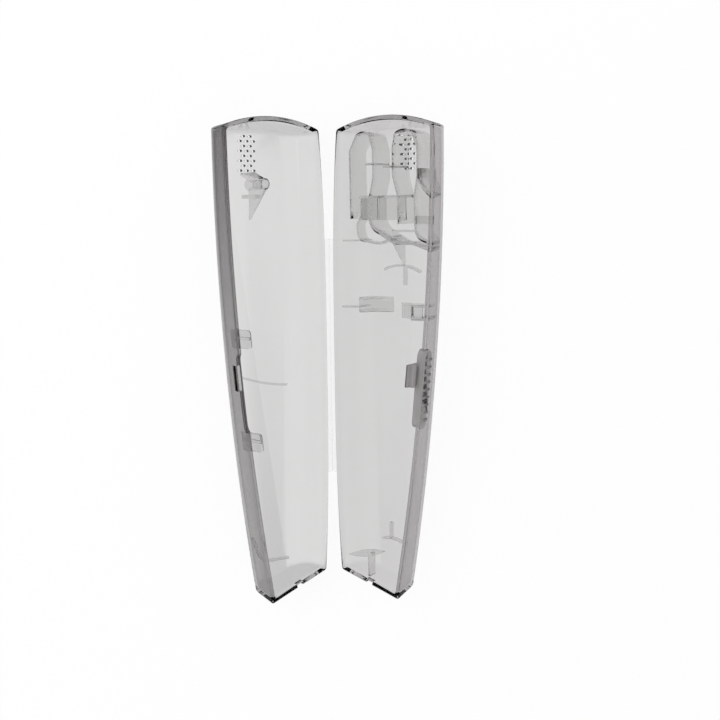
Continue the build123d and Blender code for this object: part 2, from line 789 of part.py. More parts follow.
def lid_shell():
    """Tray with the recess for the button and the window for the hook."""
    return tray_shell(lid_vent_counts) - latch_cut(-latch_middle_z) - catch_window()


def locating_tab(top_y):
    """Tab that stands past the rim and slides inside the outer wall of the base."""
    front = -(rim_width + tab_clearance)

    def leaf(thickness, width, reach):
        side = Face(Wire(Polyline(
            (front, rim_z), (front - tab_lean, reach), (front - tab_lean - thickness, reach),
            (front - thickness, rim_z), (front - thickness, -tab_root), (front, -tab_root), close=True,
        ).edges()))
        upright = Plane(origin=(0, width / 2, 0), x_dir=(1, 0, 0), z_dir=(0, -1, 0)) * side
        return extrude(upright, width)

    mask = on_wall_face(RectangleRounded(tab_width, 2 * tab_reach, tab_corner), -outer_round, overshoot)
    plate = leaf(tab_thickness, tab_width, tab_reach) & mask
    rib = leaf(tab_thickness + tab_rib_height, tab_rib_width, tab_reach - tab_corner)
    root = Pos((front - tab_thickness) / 2, 0, (rim_z - tab_root) / 2) * Box(
        -(front - tab_thickness), tab_width, rim_z + tab_root)
    place = on_outer_wall(top_y - tab_width / 2)
    behind = place * (plate + rib + root) & (hollow & slab(back_z, rim_z))
    ahead = place * (plate + rib) & slab(rim_z, tab_reach + overshoot)
    return behind + ahead


def rim_peg():
    """Small peg on the lid's rim that drops into the seat of the base."""
    size = (seat_width - 2 * peg_clearance, seat_length - 2 * peg_clearance)
    peg = Box(*size, peg_height + parting_gap)
    z = rim_z + (peg_height + parting_gap) / 2
    return on_outer_wall(seat_y) * Pos(-rim_width / 2, 0, z) * peg


def presser_pieces():
    """Hollow post that keeps the brush heads down, its wing, and its gusset with a cross bar."""
    disc = Pos(presser_x, presser_y) * Circle(presser_radius)
    bore = Pos(presser_x, presser_y) * Circle(presser_radius - presser_wall)
    post = standing(disc - bore, back_z, -presser_edge_depth)
    solid_post = extrude(Pos(0, 0, back_z) * disc, tray_depth)
    side = Face(Wire(Polyline(
        (presser_y, floor_z - wall), (presser_y, -presser_edge_depth),
        (presser_y - presser_radius, -presser_edge_depth), (gusset_bottom_y, floor_z),
        (gusset_bottom_y, floor_z - wall), close=True,
    ).edges()))
    place = Plane(origin=(presser_x - gusset_thickness / 2, 0, 0), x_dir=(0, 1, 0), z_dir=(1, 0, 0))
    gusset = (extrude(place * side, gusset_thickness) & hollow) - solid_post
    wing_line = Line((presser_x, presser_y + presser_radius - wing_thickness / 2),
                     (presser_x + wing_run, presser_y + presser_radius + wing_rise))
    wing = standing(wall_along(wing_line, wing_thickness), back_z, -wing_edge_depth) - solid_post
    bar_line = Line((presser_x - bar_half_length, bar_y), (presser_x + bar_half_length, bar_y))
    bar = standing(wall_along(bar_line, bar_thickness), back_z, -bar_edge_depth)
    return {
        "presser_post": post,
        "presser_gusset": gusset + bar,
        "presser_wing": wing.solids().sort_by(SortBy.VOLUME)[-1],
    }


def lid_ribs():
    """Two thin ribs on the floor of the lid."""
    across = wall_along(ThreePointArc(lid_rib_ends[0], lid_rib_middle, lid_rib_ends[1]), rib_thickness)
    foot_path = FilletPolyline(lid_foot_rib_ends[0], lid_foot_rib_corner, lid_foot_rib_ends[1],
                               radius=lid_foot_rib_round)
    foot = wall_along(foot_path, rib_thickness)
    return {
        "lid_cross_rib": standing(across, back_z, floor_z + lid_rib_height),
        "lid_foot_rib": standing(foot, back_z, floor_z + lid_foot_rib_height),
    }


def lid_pieces():
    return {
        "lid_shell": lid_shell(),
        "locating_tab_upper": locating_tab(tab_top_y[0]),
        "locating_tab_lower": locating_tab(tab_top_y[1]),
        "rim_peg": rim_peg(),
        **presser_pieces(),
        **lid_ribs(),
        "hinge_strip_lid_leaf": strip_leaf(fold_radius + fold_clearance),
    }


# ---------------------------------------------------------------- assembly at rest


def at_rest():
    """Every piece in the frame of the open case, lying on its spine."""
    base_turn = Rot(0, -turn, 0)
    lid_turn = Rot(0, turn, 0)
    turned = {name: base_turn * piece for name, piece in base_pieces().items()}
    turned["latch_button"] = base_turn * latch_button()
    turned["latch_hook"] = base_turn * latch_hook()
    for name, piece in lid_pieces().items():
        turned[name] = lid_turn * mirror(piece, Plane.YZ)
    lift = -turned["base_shell"].bounding_box().min.Z
    print(f"hinge axis height {lift:.3f}, middle of the length at y {middle_y:.3f}")
    return {name: Pos(0, -middle_y, lift) * piece for name, piece in turned.items()}


os.makedirs("parts", exist_ok=True)
for node, shape in at_rest().items():
    export_step(shape, f"parts/{node}.step")
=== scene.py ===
# %% [markdown]
# # A clear travel case for an electric toothbrush
#
# The real case is two thin clear trays, moulded with all their ribs, and joined by a strip
# so thin that it bends. The solid model comes in as a fixed frame. This lesson gives it the
# surfaces that the eye sees: rounded rims that bend the light, a ribbed button, a softly
# folded hinge, and a clear plastic with the small marks of use.

# %% Load the solid model
import json
import math

import bmesh
import bpy
import numpy as np
from mathutils import Matrix, Vector


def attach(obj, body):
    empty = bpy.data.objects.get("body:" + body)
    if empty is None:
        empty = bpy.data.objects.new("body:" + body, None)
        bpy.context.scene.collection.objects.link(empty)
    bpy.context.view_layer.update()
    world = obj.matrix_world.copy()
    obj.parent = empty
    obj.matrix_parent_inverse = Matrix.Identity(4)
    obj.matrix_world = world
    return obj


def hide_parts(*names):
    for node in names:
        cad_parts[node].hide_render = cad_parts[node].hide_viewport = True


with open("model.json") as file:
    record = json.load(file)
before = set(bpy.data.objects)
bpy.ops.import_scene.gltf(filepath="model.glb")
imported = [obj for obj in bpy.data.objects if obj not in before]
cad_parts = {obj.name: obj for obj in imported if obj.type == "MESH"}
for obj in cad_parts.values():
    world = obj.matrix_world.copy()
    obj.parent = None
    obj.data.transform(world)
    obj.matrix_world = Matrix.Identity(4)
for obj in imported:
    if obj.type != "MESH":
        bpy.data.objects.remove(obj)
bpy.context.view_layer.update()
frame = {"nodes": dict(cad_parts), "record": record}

# %% [markdown]
# ## The tray frame
#
# Both trays were drawn in one frame: x runs from the hinge outward, y from the foot to the
# top end, and z is zero at the parting plane and negative towards the back. The base is that
# frame turned down by 39 degrees, and the lid is its mirror image. Every new surface below is
# worked out in the tray frame in millimetres and then laid into place by one of two functions.

# %% From the tray frame to the room
MM = 0.001
TURN = math.radians(39)
MIDDLE_Y = 102.25
HINGE_HEIGHT = 7.878


def place_base(points):
    """Turn by 39 degrees about the hinge line, move the middle to y = 0, lift, and scale to metres."""
    x, y, z = np.moveaxis(np.asarray(points, float), -1, 0)
    c, s = math.cos(TURN), math.sin(TURN)
    return np.stack([x * c - z * s, y - MIDDLE_Y, x * s + z * c + HINGE_HEIGHT], -1) * MM


def place_lid(points):
    """The same place with x mirrored."""
    return place_base(points) * (-1, 1, 1)


# %% [markdown]
# ## The view
#
# The photograph was taken from straight above, with the case a little below the middle of the
# lens. The camera hangs where the outlines of both trays agree with the photograph.

# %% Camera
camera_data = bpy.data.cameras.new("camera")
camera = bpy.data.objects.new("camera", camera_data)
bpy.context.scene.collection.objects.link(camera)
bpy.context.scene.camera = camera
camera_place = Vector((-9.22, 169.89 - MIDDLE_Y, 465.18 + HINGE_HEIGHT)) * MM
pan, roll = 0.052, -0.016       # radians
focal_pixels, picture_pixels = 982.8, 720
middle_row = 207.8              # the picture's row that the lens looks straight at
forward = Vector((math.sin(pan), 0, -math.cos(pan)))
level_right = Vector((math.cos(pan), 0, math.sin(pan)))
level_up = Vector((0, 1, 0))
right = math.cos(roll) * level_right + math.sin(roll) * level_up
up = -math.sin(roll) * level_right + math.cos(roll) * level_up
camera.matrix_world = Matrix((
    (right.x, up.x, -forward.x, camera_place.x),
    (right.y, up.y, -forward.y, camera_place.y),
    (right.z, up.z, -forward.z, camera_place.z),
    (0, 0, 0, 1),
))
camera_data.sensor_width = 36
camera_data.lens = camera_data.sensor_width * focal_pixels / picture_pixels
camera_data.shift_y = -(picture_pixels / 2 - middle_row) / picture_pixels
camera_data.clip_start = 0.01
print("camera height", round(camera_place.z / MM), "mm")

# %% [markdown]
# ## Shader maths in plain Python
#
# A pattern is easier to read as an expression than as a web of nodes, so one small class wraps
# a socket, and its operators add the Math nodes.


# %% A socket that can be calculated with
class Pattern:
    """One output socket in a material's node tree, with its sums, products and maxima as nodes."""

    def __init__(self, tree, socket):
        """Keep the tree beside the socket, because every new node goes into that tree."""
        self.tree, self.socket = tree, socket

    def _maths(self, operation, first, second):
        """One Math node: the operation applied to the two values."""
        node = self.tree.nodes.new("ShaderNodeMath")
        node.operation = operation
        for place, value in zip(node.inputs, (first, second)):
            connect(self.tree, place, value)
        return Pattern(self.tree, node.outputs[0])

    def __add__(self, other):
        """This value plus the other."""
        return self._maths("ADD", self, other)

    def __radd__(self, other):
        """A plain number plus this value."""
        return self._maths("ADD", other, self)

    def __sub__(self, other):
        """This value less the other."""
        return self._maths("SUBTRACT", self, other)

    def __mul__(self, other):
        """This value times the other."""
        return self._maths("MULTIPLY", self, other)

    def __rmul__(self, other):
        """A plain number times this value."""
        return self._maths("MULTIPLY", other, self)

    def largest(self, other):
        """The larger of this value and the other."""
        return self._maths("MAXIMUM", self, other)


def connect(tree, place, value):
    """Link a socket to a place, or write a plain number or colour there."""
    if isinstance(value, Pattern):
        tree.links.new(value.socket, place)
    else:
        place.default_value = value


def node(tree, kind, settings=None, links=None, output=0):
    """Add one node, set its settings, join its sockets and return one output."""
    made = tree.nodes.new(kind)
    for name, value in (settings or {}).items():
        setattr(made, name, value)
    for name, value in (links or {}).items():
        connect(tree, made.inputs[name], value)
    return Pattern(tree, made.outputs[output])


# %% [markdown]
# ## Floor and light
#
# Clear plastic shows what is behind it, so the pale floor matters more than the lamps. The
# floor is seen at full white by the camera and through the plastic, and keeps a trace of the
# case's own shadow. The room is evenly bright, as in a light tent, with one broad lamp that
# draws soft lines of light along the rims.

# %% Floor
FLOOR_HALF = 3.0
FLOOR_GLOW = 0.9                # the rest of what is seen is paper in the lamp's light, with its shadow

floor_mesh = bpy.data.meshes.new("floor")
corners = [(x * FLOOR_HALF, y * FLOOR_HALF, 0) for x, y in ((-1, -1), (1, -1), (1, 1), (-1, 1))]
floor_mesh.from_pydata(corners, [], [(0, 1, 2, 3)])
floor = bpy.data.objects.new("floor", floor_mesh)
bpy.context.scene.collection.objects.link(floor)
floor_white = bpy.data.materials.new("floor_white")
floor_white.use_nodes = True
tree = floor_white.node_tree
paper = tree.nodes["Principled BSDF"]
paper.inputs["Base Color"].default_value = (0.9, 0.9, 0.9, 1)
paper.inputs["Roughness"].default_value = 1.0
ray = tree.nodes.new("ShaderNodeLightPath")
seen = Pattern(tree, ray.outputs["Is Camera Ray"])
seen = seen.largest(Pattern(tree, ray.outputs["Is Glossy Ray"]))
seen = seen.largest(Pattern(tree, ray.outputs["Is Transmission Ray"]))
glow = node(tree, "ShaderNodeEmission", links={"Strength": 1.0})
mix = tree.nodes.new("ShaderNodeMixShader")
connect(tree, mix.inputs[0], seen * FLOOR_GLOW)
tree.links.new(paper.outputs[0], mix.inputs[1])
tree.links.new(glow.socket, mix.inputs[2])
tree.links.new(mix.outputs[0], tree.nodes["Material Output"].inputs["Surface"])
floor_mesh.materials.append(floor_white)
print("floor", 2 * FLOOR_HALF, "m wide")

# %% [markdown]
# The light comes from all sides, as in a tent of white cloth, so that no side of the clear
# walls reflects darkness. One square lamp stands high on the left.

# %% Light
world = bpy.data.worlds.new("world")
bpy.context.scene.world = world
world.use_nodes = True
world.node_tree.nodes["Background"].inputs["Color"].default_value = (1, 1, 1, 1)
world.node_tree.nodes["Background"].inputs["Strength"].default_value = 0.85
lamp_data = bpy.data.lights.new("broad_lamp", "AREA")
lamp_data.size = 0.5
lamp_data.energy = 2.5
lamp = bpy.data.objects.new("broad_lamp", lamp_data)
lamp.location = (-0.45, 0.35, 0.75)
lamp.rotation_euler = (Vector((0, 0, 0)) - lamp.location).to_track_quat("-Z", "Y").to_euler()
bpy.context.scene.collection.objects.link(lamp)
print("lamp", lamp_data.energy, "W")


# %% [markdown]
# ## Clear plastic
#
# The trays are moulded from a clear plastic with a light smoky grey tint. Some of its colour
# comes from how far the light travels inside, so thick places, such as rims and standing
# ribs, look darker than the floor. The surface is nearly smooth: it has the slow waviness of
# a moulding, fine hairlines from being wiped, and a few duller smudges. A lower index than the
# real plastic's keeps light from being trapped in the walls, which would turn the rims black.

# %% The plastic's recipe
INDEX = 1.17
PALER = 0.97                    # the least of the tint where the slow waves are low


def blend(tree, factor, first, second):
    """A colour between two: the first where the factor is zero, the second where it is one."""
    mixer = tree.nodes.new("ShaderNodeMix")
    mixer.data_type = "RGBA"
    connect(tree, mixer.inputs["Factor"], factor)
    connect(tree, mixer.inputs[6], first)
    connect(tree, mixer.inputs[7], second)
    return Pattern(tree, mixer.outputs[2])


def clear_plastic(name, tint, depth_colour, density, smudge, wave, painted_shade_colour=None, haze=0.02, clear=1.0):
    """Clear body whose colour is tint, or a painted shade colour where the mesh's painted shade attribute
    is one.

    Roughness is haze + smudge * wear + 0.1 * smudge * hairline. The bump's height is 0.9 * slow
    waves + 0.02 * hairline, and its strength is wave. The body takes light away by density for
    each metre, and keeps depth_colour most. A clear of one is glass, and less is partly milky."""
    material = bpy.data.materials.new(name)
    material.use_nodes = True
    tree = material.node_tree
    place = node(tree, "ShaderNodeTexCoord", output=3)
    slow = node(tree, "ShaderNodeTexNoise", links={"Vector": place, "Scale": 45.0, "Detail": 2.0})
    cloud = node(tree, "ShaderNodeTexNoise", links={"Vector": place, "Scale": 160.0, "Detail": 4.0})
    lengthwise = node(tree, "ShaderNodeMapping", links={"Vector": place, "Scale": (900, 40, 900)})
    hair = node(tree, "ShaderNodeTexNoise", links={"Vector": lengthwise, "Scale": 1.0, "Detail": 3.0})
    hairline = (hair - 0.62).largest(0.0) * 4.0
    wear = (cloud - 0.55).largest(0.0) * 2.0
    body = tree.nodes["Principled BSDF"]
    colour = blend(tree, slow, (*[PALER * v for v in tint], 1), (*tint, 1))
    # Painted shade: where the attribute is high, the colour turns to the painted shade colour.
    if painted_shade_colour:
        painted_shade = tree.nodes.new("ShaderNodeAttribute")
        painted_shade.attribute_name = "painted_shade"
        colour = blend(tree, Pattern(tree, painted_shade.outputs["Fac"]), colour, (*painted_shade_colour, 1))
    connect(tree, body.inputs["Base Color"], colour)
    connect(tree, body.inputs["Roughness"], haze + smudge * wear + 0.1 * smudge * hairline)
    body.inputs["IOR"].default_value = INDEX
    body.inputs["Transmission Weight"].default_value = clear
    height = slow * 0.9 + hairline * 0.02
    bump = tree.nodes.new("ShaderNodeBump")
    bump.inputs["Strength"].default_value = wave
    bump.inputs["Distance"].default_value = 0.0002
    connect(tree, bump.inputs["Height"], height)
    tree.links.new(bump.outputs[0], body.inputs["Normal"])
    depth = tree.nodes.new("ShaderNodeVolumeAbsorption")
    depth.inputs["Color"].default_value = (*depth_colour, 1)
    depth.inputs["Density"].default_value = density
    tree.links.new(depth.outputs[0], tree.nodes["Material Output"].inputs["Volume"])
    return material


DEEP_GREY = (0.15, 0.13, 0.14)

# The last colour of each tray is its painted shade near the outer wall and the ends.
base_plastic = clear_plastic("base_plastic", (0.735, 0.735, 0.73), DEEP_GREY, 35, 0.10, 0.12,
                             painted_shade_colour=(0.60, 0.58, 0.585))
# The base's tint is darker than the lid's, though both trays are one moulding: a painted shade on the
# base.
lid_plastic = clear_plastic("lid_plastic", (0.80, 0.80, 0.795), DEEP_GREY, 35, 0.10, 0.12,
                            painted_shade_colour=(0.19, 0.175, 0.18))
rib_plastic = clear_plastic("rib_plastic", (0.84, 0.84, 0.835), DEEP_GREY, 25, 0.12, 0.08)
latch_plastic = clear_plastic("latch_plastic", (0.50, 0.48, 0.48), (0.12, 0.11, 0.12), 35, 0.14, 0.08,
                              painted_shade_colour=(0.05, 0.045, 0.045), haze=0.12, clear=0.5)
# Painted shade: the vents' walls take this near-black plastic, for the dark seen down the slots.
vent_painted_shade_plastic = clear_plastic("vent_painted_shade_plastic", (0.12, 0.11, 0.11), DEEP_GREY, 110, 0.10, 0.08,
                             haze=0.3)
hinge_plastic = clear_plastic("hinge_plastic", (0.96, 0.96, 0.96), (0.6, 0.6, 0.6), 15, 0.25, 0.25,
                              haze=0.2)
print("plastics", [material.name for material in bpy.data.materials if material.name.endswith("_plastic")])

# %% [markdown]
# ## Putting a surface into a mesh
#
# A surface here is a grid of points, worked out as whole arrays. One helper joins the grid's
# neighbours to faces, closes it round, and hands the result to Blender.


# %% Grids to meshes
def grid_faces(rows, columns, closed_rows=False):
    """Quads between neighbours; every row is a closed loop, and the last row may meet the first."""
    i = np.arange(rows if closed_rows else rows - 1)[:, None]
    j = np.arange(columns)[None, :]
    ahead, beside = (i + 1) % rows, (j + 1) % columns
    a, b, c, d = (i * columns + j, i * columns + beside, ahead * columns + beside, ahead * columns + j)
    return np.stack([a, b, c, d], -1).reshape(-1, 4)


def new_piece(name, points, faces, material, caps=()):
    """A mesh from an array of points, quads and a few many-sided caps, with outward normals."""
    mesh = bpy.data.meshes.new(name)
    loops = [list(f) for f in faces] + [list(c) for c in caps]
    mesh.from_pydata(points.reshape(-1, 3).tolist(), [], loops)
    tidy = bmesh.new()
    tidy.from_mesh(mesh)
    bmesh.ops.remove_doubles(tidy, verts=tidy.verts, dist=1e-7)
    bmesh.ops.recalc_face_normals(tidy, faces=tidy.faces)
    tidy.to_mesh(mesh)
    tidy.free()
    mesh.materials.append(material)
    mesh.shade_smooth()
    piece = bpy.data.objects.new(name, mesh)
    bpy.context.scene.collection.objects.link(piece)
    return piece


def bake_modifiers(piece):
    """Keep what the modifiers make as the piece's own mesh, and drop them."""
    shown = piece.evaluated_get(bpy.context.evaluated_depsgraph_get())
    result = bpy.data.meshes.new_from_object(shown)
    piece.modifiers.clear()
    piece.data = result


def cut(piece, cutters):
    """Take closed cutter shapes out of a piece and keep the result as its mesh."""
    for cutter in cutters:
        step = piece.modifiers.new("cut", "BOOLEAN")
        step.operation, step.solver, step.object = "DIFFERENCE", "EXACT", cutter
        step.material_mode = "TRANSFER"
    bake_modifiers(piece)
    for cutter in cutters:
        bpy.data.objects.remove(cutter)
    return piece


# %% [markdown]
# ## The trays
#
# Each tray is one thin wall. Seen from above its hinge side is nearly straight, the outer side
# bows, the top end is an arch and the foot is cut at a slant. All of its rings, from the rim
# down to the back and up again inside, are the same outline drawn further in and deeper. So
# the tray is a stack of rings: one function gives a ring for a depth and an inset, and a list
# of depths and insets is the profile of the wall. A rounded rim is only a few more rows.

# %% The four sides of a ring
# Corners of the outline at the rim
HINGE_TOP_Y, OUTER_TOP_X, OUTER_BOTTOM_X, OUTER_BOTTOM_Y = 206.8, 59.3, 36.3, -7.6
HINGE_BOTTOM_X = 5.0
DEPTH = 18.0                     # of one tray, rim to back
HINGE_MIDDLE_Y = 100.0           # where the hinge wall's rim comes nearest to the fold
HINGE_SWING = 3.2                # how much nearer it comes there than at the ends
OUTER_BOW = 4.6                  # of the outer wall at mid-height
LEAN_FOOT, LEAN_TOP = 1.2, 4.4   # how far the outer wall leans in over the depth
ARCH_RISE = 5.3                  # of the top end at the rim
BACK_TOP_Y, BACK_ARCH_RISE = 206.3, 0.8
BACK_FOOT_HINGE_Y, BACK_FOOT_OUTER_Y = -1.5, -5.2
HINGE_ROUND, OUTER_ROUND, END_ROUND = 10.0, 7.0, 1.3    # where each wall meets the back
LEAST_ROUND = 0.4                # of the same rounding inside


def hinge_lean(y):
    """How far the hinge wall leans in over the depth: the swing times 1 - (way to an end)^3."""
    return HINGE_SWING - HINGE_SWING * np.abs((y - HINGE_MIDDLE_Y) / (HINGE_TOP_Y - HINGE_MIDDLE_Y)) ** 3


def hinge_side(y, z):
    """X of the hinge wall: straight at the back, and its rim swings away at both ends."""
    return HINGE_BOTTOM_X - hinge_lean(y) * (1 + z / DEPTH)


def along_wall(y):
    """How far y lies along the outer wall: zero at the foot and one at the top."""
    return (y - OUTER_BOTTOM_Y) / (HINGE_TOP_Y - OUTER_BOTTOM_Y)


def outer_lean(y):
    """How far the outer wall leans in over the depth: an even change from foot to top."""
    return LEAN_FOOT + (LEAN_TOP - LEAN_FOOT) * along_wall(y)


def outer_side(y, z):
    """X of the outer wall: a slanted line, plus bow * (1 - (2 * along - 1)^2), less the lean."""
    along = along_wall(y)
    slant = OUTER_BOTTOM_X + (OUTER_TOP_X - OUTER_BOTTOM_X) * along
    return slant + OUTER_BOW * (1 - (2 * along - 1) ** 2) - outer_lean(y) * (-z / DEPTH)


def top_side(x, z):
    """Y of the top end: a circle's arch at the rim that flattens towards the back."""
    middle = (OUTER_TOP_X + HINGE_BOTTOM_X) / 2
    half_chord = (OUTER_TOP_X - HINGE_BOTTOM_X) / 2

    def arch(top_y, rise):
        """Circle through both corners at top_y with its crown rise above them."""
        radius = (half_chord**2 + rise**2) / (2 * rise)
        return top_y + rise - radius + np.sqrt(radius**2 - (x - middle) ** 2)

    at_rim, at_back = arch(HINGE_TOP_Y, ARCH_RISE), arch(BACK_TOP_Y, BACK_ARCH_RISE)
    return at_rim + (at_back - at_rim) * (-z / DEPTH)


def bottom_side(x, z):
    """Y of the foot: a straight slant that is a little flatter at the back."""
    along = (x - HINGE_BOTTOM_X) / (OUTER_BOTTOM_X - HINGE_BOTTOM_X)
    at_rim = OUTER_BOTTOM_Y * along
    at_back = BACK_FOOT_HINGE_Y + (BACK_FOOT_OUTER_Y - BACK_FOOT_HINGE_Y) * along
    return at_rim + (at_back - at_rim) * (-z / DEPTH)


def roundness(radius, height, slope=0.0):
    """How far the foot rounding of a leaning wall has come in from the wall at a height.

    The rounding is a circle that touches the flat and the wall. It leaves the flat at
    run = radius * tan(45 degrees - half the lean), and at a height its edge lies at
    run - sqrt(radius^2 - (radius - height)^2) from the sharp corner, which the wall itself
    has left by slope * height."""
    lean = np.arctan(slope)
    run = radius * np.tan(math.pi / 4 - lean / 2)
    edge = run - math.sqrt(max(radius**2 - (radius - min(height, radius)) ** 2, 0)) + slope * height
    return np.where(height < run * np.cos(lean), edge, 0.0)


print("tray at the rim", HINGE_TOP_Y - OUTER_BOTTOM_Y, "mm long, bow", OUTER_BOW, "mm")

# %% [markdown]
# A ring is read off the four sides at one depth. Where two sides meet, the corner is eased as
# a moulding's corners are.

# %% One ring
EASE = 1.2                       # how far before and after a corner its easing reaches


def ring(z, inset, flat_z, grow):
    """Closed loop of points at depth z, inset from the outside, with eased corners.

    grow is how much smaller the foot roundings are inside than outside. Each corner is a
    curve (1-t)^2 * a + 2t(1-t) * corner + t^2 * b between the sides a and b."""
    height = z - flat_z
    ends = inset + roundness(max(END_ROUND - grow, LEAST_ROUND), height)

    def left(y):
        """X of this ring on the hinge side: the wall, plus the inset, plus the rounding."""
        return hinge_side(y, z) + inset + roundness(HINGE_ROUND - grow, height, hinge_lean(y) / DEPTH)

    def right(y):
        """X of this ring on the outer side: the wall, less the inset, less the rounding."""
        return outer_side(y, z) - inset - roundness(OUTER_ROUND - grow, height, outer_lean(y) / DEPTH)

    def corner(x, side, end, in_end):
        """Where a side meets an end: the two are read in turn until they agree."""
        for _ in range(12):
            y = end(x, z) + in_end
            x = float(side(y))
        return x, y

    foot_left = corner(HINGE_BOTTOM_X, left, bottom_side, ends)
    foot_right = corner(OUTER_BOTTOM_X, right, bottom_side, ends)
    head_right = corner(OUTER_TOP_X, right, top_side, -ends)
    head_left = corner(HINGE_BOTTOM_X, left, top_side, -ends)
    y_left = np.linspace(head_left[1] - EASE, foot_left[1] + EASE, 120)
    x_foot = np.linspace(foot_left[0] + EASE, foot_right[0] - EASE, 40)
    y_right = np.linspace(foot_right[1] + EASE, head_right[1] - EASE, 160)
    x_head = np.linspace(head_right[0] - EASE, head_left[0] + EASE, 56)
    sides = [
        (left(y_left), y_left), (x_foot, bottom_side(x_foot, z) + ends),
        (right(y_right), y_right), (x_head, top_side(x_head, z) - ends),
    ]
    corners = [foot_left, foot_right, head_right, head_left]
    t = np.linspace(0, 1, 9)[1:-1, None]
    loop = []
    for index, (x, y) in enumerate(sides):
        here = np.stack([x, y], -1)
        following = np.stack(sides[(index + 1) % 4], -1)
        bend = (1 - t) ** 2 * here[-1] + 2 * t * (1 - t) * np.array(corners[index]) + t**2 * following[0]
        loop += [here, bend]
    plan = np.concatenate(loop)
    return np.column_stack([plan, np.full(len(plan), z)])


# %% [markdown]
# The rim is 2.3 mm thick and steps in to the 1.6 mm wall two millimetres down. Both of its
# edges are rounded and the step is eased, because these small roundings are what draws the
# thin dark and light lines along a clear rim.

# %% The wall's profile
RIM_Z, WALL, RIM, RIM_STEP = -0.15, 1.6, 2.3, 2.0
RIM_EDGE = 0.5                   # rounding of the rim's two edges
FLAT_OUT, FLAT_IN = -DEPTH, WALL - DEPTH


def tray_profile():
    """Rows of (depth, inset, flat, grow): outside from the back up, over the rim, and down inside.

    Up a rounding of radius r the depth is flat + r * (1 - cos a), with a in even steps. Over an
    edge it is the rim's top less edge * (1 - sin a), and the inset edge * (1 - cos a)."""
    quarter = np.linspace(0, math.pi / 2, 15)
    rows = [(FLAT_OUT + HINGE_ROUND * (1 - math.cos(a)), 0.0, FLAT_OUT, 0.0) for a in quarter]
    rows += [(z, 0.0, FLAT_OUT, 0.0) for z in (-7.0, -6.0, -4.0, -2.0)]
    edge = RIM_EDGE
    bend = np.linspace(0, math.pi / 2, 6)
    rows += [(RIM_Z - edge + edge * math.sin(a), edge - edge * math.cos(a), FLAT_OUT, 0.0) for a in bend]
    rows += [(RIM_Z - edge + edge * math.cos(a), RIM - edge + edge * math.sin(a), FLAT_OUT, 0.0)
             for a in bend]
    rows += [(-RIM_STEP + 0.25, RIM, FLAT_IN, WALL), (-RIM_STEP - 0.05, RIM - 0.2, FLAT_IN, WALL),
             (-RIM_STEP - 0.25, WALL + 0.2, FLAT_IN, WALL), (-RIM_STEP - 0.6, WALL, FLAT_IN, WALL)]
    rows += [(z, WALL, FLAT_IN, WALL) for z in (-4.0, -6.0, -7.5)]
    inside = HINGE_ROUND - WALL
    down = np.linspace(math.pi / 2, 0, 13)
    rows += [(FLAT_IN + inside * (1 - math.cos(a)), WALL, FLAT_IN, WALL) for a in down]
    return rows


rings = np.stack([ring(*row) for row in tray_profile()])
print("tray rings", rings.shape)


# %% [markdown]
# The vents, the finger notch, the hole for the button and the window for its hook are cut
# through afterwards, as the pins of the mould do.

# %% Cutters
LATCH_Y = 88.9
VENT_LENGTH, VENT_WIDTH, VENT_ROWS = 1.9, 1.1, 8
VENT_X, VENT_TOP_Y = 34.8, 203.75
VENT_STEP_X, VENT_STEP_Y = 3.73, 2.27
NOTCH_X, NOTCH_HALF_WIDTH, NOTCH_HALF_DEPTH, NOTCH_HEIGHT = 20.0, 1.8, 1.5, 2.5
HOLE_LENGTH, HOLE_WIDTH, HOLE_SHIFT = 36.2, 6.4, 1.3
WINDOW_HALF, WINDOW_SHIFT = (5.8, 1.55), (6.4, -4.95)
SEAT_HALF, SEAT_Y = (2.7, 1.4), 194.9


def on_outer_wall(points, y):
    """Points drawn with x out of the wall, y along it and z up, laid on the outer wall at y."""
    slope = (outer_side(y + 0.5, 0.0) - outer_side(y - 0.5, 0.0))
    angle = -math.atan(slope)
    x, along, z = np.moveaxis(np.asarray(points, float), -1, 0)
    c, s = math.cos(angle), math.sin(angle)
    return np.stack([outer_side(y, 0.0) + x * c - along * s, y + x * s + along * c, z], -1)


def prism(outline, low, high):
    """Closed prism: the outline's loop at two heights, as points and faces with caps."""
    count = len(outline)
    loops = np.stack([np.column_stack([outline, np.full(count, h)]) for h in (low, high)])
    return loops, grid_faces(2, count), [range(count), range(count, 2 * count)]


def slot_outline(length, width, count=10):
    """A slot: two half circles joined by straight sides."""
    a = np.linspace(-math.pi / 2, math.pi / 2, count)
    cap = np.stack([np.cos(a), np.sin(a)], -1) * width / 2
    return np.concatenate([cap + ((length - width) / 2, 0), -cap - ((length - width) / 2, 0)])


def oblong(half_length, half_width):
    """Four corners of a rectangle round zero, anticlockwise."""
    return np.array([(-1, -1), (1, -1), (1, 1), (-1, 1)]) * (half_length, half_width)


def cutter(name, points, faces, caps, place):
    """A closed cutter in the room; the walls it leaves behind take on its material."""
    # The vents' walls get the near-black painted shade plastic; the other openings get the base plastic.
    material = vent_painted_shade_plastic if name == "vent" else base_plastic
    return new_piece(name, place(points), faces, material, caps)


